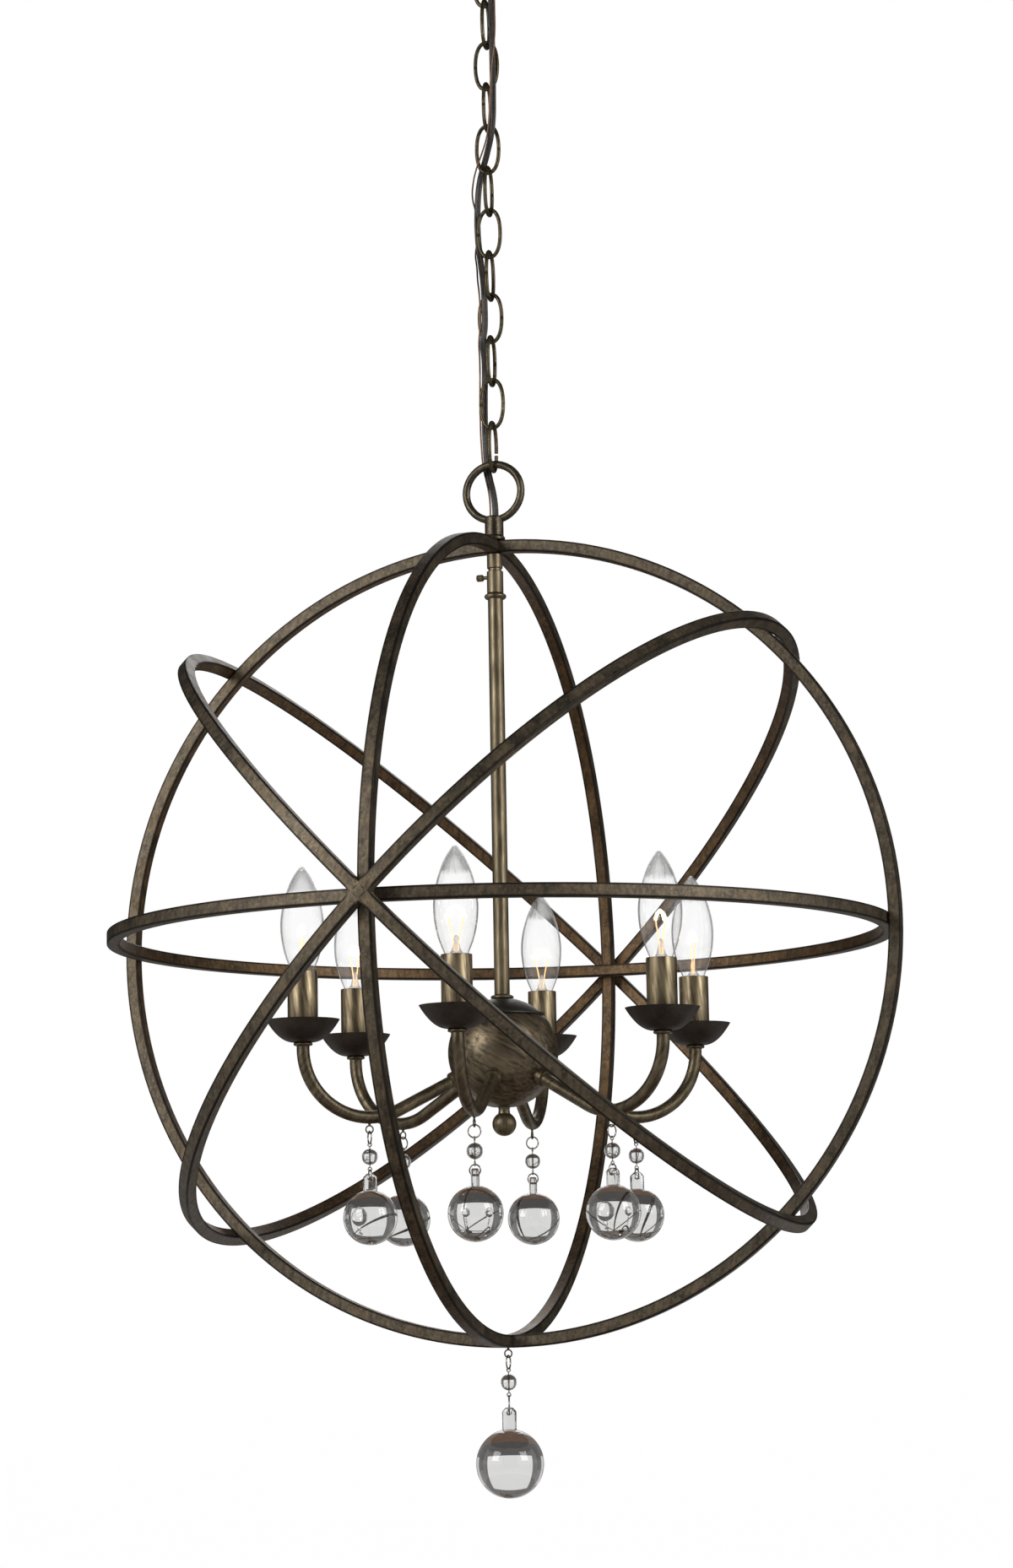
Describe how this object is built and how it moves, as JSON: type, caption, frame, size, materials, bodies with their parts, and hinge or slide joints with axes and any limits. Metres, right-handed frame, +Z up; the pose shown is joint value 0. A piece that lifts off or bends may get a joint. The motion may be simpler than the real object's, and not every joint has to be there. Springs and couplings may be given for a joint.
{
  "type": "orb chandelier",
  "caption": "Chandelier with nested square-bar rings around candle lights and clear ball drops, hung by a chain from a ceiling canopy.",
  "frame": {"origin": "on the ceiling at the middle of the mounting strap", "axes": "+Z up into the ceiling, the front of the orb towards -Y"},
  "size_m": [0.61, 0.6302, 1.243],
  "materials": {
    "dark_bronze": "antiqued dark bronze, brushed",
    "brushed_bronze": "antiqued bronze, brushed to a pale gold",
    "steel": "zinc plated",
    "copper": "bare copper wire",
    "cord": "brown covered cord",
    "bulb_glass": "clear",
    "crystal": "polished clear"
  },
  "bodies": {
    "ceiling_mount": {"mounting_strap": "steel", "canopy": "dark_bronze", "canopy_loop": "dark_bronze", "supply_cord": "cord", "ground_wire": "copper"},
    "link_01": {"chain_link_01": "dark_bronze"},
    "link_02": {"chain_link_02": "dark_bronze"},
    "link_03": {"chain_link_03": "dark_bronze"},
    "link_04": {"chain_link_04": "dark_bronze"},
    "link_05": {"chain_link_05": "dark_bronze"},
    "link_06": {"chain_link_06": "dark_bronze"},
    "link_07": {"chain_link_07": "dark_bronze"},
    "link_08": {"chain_link_08": "dark_bronze"},
    "link_09": {"chain_link_09": "dark_bronze"},
    "link_10": {"chain_link_10": "dark_bronze"},
    "link_11": {"chain_link_11": "dark_bronze"},
    "link_12": {"chain_link_12": "dark_bronze"},
    "orb": {"top_loop": "dark_bronze", "face_ring": "dark_bronze", "side_ring": "dark_bronze", "equator_ring": "dark_bronze", "rising_ring": "dark_bronze", "falling_ring": "dark_bronze", "stem": "brushed_bronze", "slip_sleeve": "brushed_bronze", "hub_cap": "dark_bronze", "hub_bowl": "dark_bronze", "finial": "brushed_bronze", "arm_1": "brushed_bronze", "arm_2": "brushed_bronze", "arm_3": "brushed_bronze", "arm_4": "brushed_bronze", "arm_5": "brushed_bronze", "arm_6": "brushed_bronze", "bobeche_1": "dark_bronze", "bobeche_2": "dark_bronze", "bobeche_3": "dark_bronze", "bobeche_4": "dark_bronze", "bobeche_5": "dark_bronze", "bobeche_6": "dark_bronze", "candle_sleeve_1": "brushed_bronze", "candle_sleeve_2": "brushed_bronze", "candle_sleeve_3": "brushed_bronze", "candle_sleeve_4": "brushed_bronze", "candle_sleeve_5": "brushed_bronze", "candle_sleeve_6": "brushed_bronze"},
    "thumb_screw_body": {"thumb_screw": "brushed_bronze"},
    "bulb_body_1": {"bulb_1": "bulb_glass"},
    "bulb_body_2": {"bulb_2": "bulb_glass"},
    "bulb_body_3": {"bulb_3": "bulb_glass"},
    "bulb_body_4": {"bulb_4": "bulb_glass"},
    "bulb_body_5": {"bulb_5": "bulb_glass"},
    "bulb_body_6": {"bulb_6": "bulb_glass"},
    "drop_body_1": {"arm_drop_1": "crystal"},
    "drop_body_2": {"arm_drop_2": "crystal"},
    "drop_body_3": {"arm_drop_3": "crystal"},
    "drop_body_4": {"arm_drop_4": "crystal"},
    "drop_body_5": {"arm_drop_5": "crystal"},
    "drop_body_6": {"arm_drop_6": "crystal"},
    "bottom_drop_body": {"bottom_drop": "crystal"}
  },
  "joints": [
    {"name": "swing_link_01", "type": "hinge", "parent": "ceiling_mount", "child": "link_01", "pos_m": [0, 0, -0.0583], "axis": [0, 1, 0], "range_deg": [-10, 10], "deforming": ["supply_cord", "ground_wire"]},
    {"name": "swing_link_02", "type": "hinge", "parent": "link_01", "child": "link_02", "pos_m": [0, 0, -0.09225], "axis": [1, 0, 0], "range_deg": [-10, 10], "deforming": ["supply_cord", "ground_wire"]},
    {"name": "swing_link_03", "type": "hinge", "parent": "link_02", "child": "link_03", "pos_m": [0, 0, -0.12645], "axis": [0, 1, 0], "range_deg": [-10, 10], "deforming": ["supply_cord", "ground_wire"]},
    {"name": "swing_link_04", "type": "hinge", "parent": "link_03", "child": "link_04", "pos_m": [0, 0, -0.16065], "axis": [1, 0, 0], "range_deg": [-10, 10], "deforming": ["supply_cord", "ground_wire"]},
    {"name": "swing_link_05", "type": "hinge", "parent": "link_04", "child": "link_05", "pos_m": [0, 0, -0.19485], "axis": [0, 1, 0], "range_deg": [-10, 10], "deforming": ["supply_cord", "ground_wire"]},
    {"name": "swing_link_06", "type": "hinge", "parent": "link_05", "child": "link_06", "pos_m": [0, 0, -0.22905], "axis": [1, 0, 0], "range_deg": [-10, 10], "deforming": ["supply_cord", "ground_wire"]},
    {"name": "swing_link_07", "type": "hinge", "parent": "link_06", "child": "link_07", "pos_m": [0, 0, -0.26325], "axis": [0, 1, 0], "range_deg": [-10, 10], "deforming": ["supply_cord", "ground_wire"]},
    {"name": "swing_link_08", "type": "hinge", "parent": "link_07", "child": "link_08", "pos_m": [0, 0, -0.29745], "axis": [1, 0, 0], "range_deg": [-10, 10], "deforming": ["supply_cord", "ground_wire"]},
    {"name": "swing_link_09", "type": "hinge", "parent": "link_08", "child": "link_09", "pos_m": [0, 0, -0.33165], "axis": [0, 1, 0], "range_deg": [-10, 10], "deforming": ["supply_cord", "ground_wire"]},
    {"name": "swing_link_10", "type": "hinge", "parent": "link_09", "child": "link_10", "pos_m": [0, 0, -0.36585], "axis": [1, 0, 0], "range_deg": [-10, 10], "deforming": ["supply_cord", "ground_wire"]},
    {"name": "swing_link_11", "type": "hinge", "parent": "link_10", "child": "link_11", "pos_m": [0, 0, -0.40005], "axis": [0, 1, 0], "range_deg": [-10, 10], "deforming": ["supply_cord", "ground_wire"]},
    {"name": "swing_link_12", "type": "hinge", "parent": "link_11", "child": "link_12", "pos_m": [0, 0, -0.43425], "axis": [1, 0, 0], "range_deg": [-10, 10], "deforming": ["supply_cord", "ground_wire"]},
    {"name": "swing_orb", "type": "hinge", "parent": "link_12", "child": "orb", "pos_m": [0, 0, -0.46845], "axis": [0, 1, 0], "range_deg": [-10, 10], "deforming": ["supply_cord", "ground_wire"]},
    {"name": "turn_thumb_screw", "type": "hinge", "parent": "orb", "child": "thumb_screw_body", "pos_m": [0, 0, -0.55204], "axis": [-1, 0, 0], "continuous": true},
    {"name": "turn_bulb_1", "type": "hinge", "parent": "orb", "child": "bulb_body_1", "pos_m": [0.12578, 0.08972, -0.85717], "axis": [0, 0, 1], "continuous": true},
    {"name": "turn_bulb_2", "type": "hinge", "parent": "orb", "child": "bulb_body_2", "pos_m": [-0.01481, 0.15379, -0.85717], "axis": [0, 0, 1], "continuous": true},
    {"name": "turn_bulb_3", "type": "hinge", "parent": "orb", "child": "bulb_body_3", "pos_m": [-0.14059, 0.06407, -0.85717], "axis": [0, 0, 1], "continuous": true},
    {"name": "turn_bulb_4", "type": "hinge", "parent": "orb", "child": "bulb_body_4", "pos_m": [-0.12578, -0.08972, -0.85717], "axis": [0, 0, 1], "continuous": true},
    {"name": "turn_bulb_5", "type": "hinge", "parent": "orb", "child": "bulb_body_5", "pos_m": [0.01481, -0.15379, -0.85717], "axis": [0, 0, 1], "continuous": true},
    {"name": "turn_bulb_6", "type": "hinge", "parent": "orb", "child": "bulb_body_6", "pos_m": [0.14059, -0.06407, -0.85717], "axis": [0, 0, 1], "continuous": true},
    {"name": "swing_drop_1", "type": "hinge", "parent": "orb", "child": "drop_body_1", "pos_m": [0.08507, 0.06068, -0.97605], "axis": [0.8141, 0.5807, 0], "range_deg": [-20, 20]},
    {"name": "swing_drop_2", "type": "hinge", "parent": "orb", "child": "drop_body_2", "pos_m": [-0.01002, 0.10402, -0.97605], "axis": [-0.0958, 0.9954, 0], "range_deg": [-20, 20]},
    {"name": "swing_drop_3", "type": "hinge", "parent": "orb", "child": "drop_body_3", "pos_m": [-0.09509, 0.04333, -0.97605], "axis": [-0.91, 0.4147, 0], "range_deg": [-20, 20]},
    {"name": "swing_drop_4", "type": "hinge", "parent": "orb", "child": "drop_body_4", "pos_m": [-0.08507, -0.06068, -0.97605], "axis": [-0.8141, -0.5807, 0], "range_deg": [-20, 20]},
    {"name": "swing_drop_5", "type": "hinge", "parent": "orb", "child": "drop_body_5", "pos_m": [0.01002, -0.10402, -0.97605], "axis": [0.0958, -0.9954, 0], "range_deg": [-20, 20]},
    {"name": "swing_drop_6", "type": "hinge", "parent": "orb", "child": "drop_body_6", "pos_m": [0.09509, -0.04333, -0.97605], "axis": [0.91, -0.4147, 0], "range_deg": [-20, 20]},
    {"name": "swing_bottom_drop", "type": "hinge", "parent": "orb", "child": "bottom_drop_body", "pos_m": [0, 0, -1.141], "axis": [1, 0, 0], "range_deg": [-20, 20]}
  ]
}
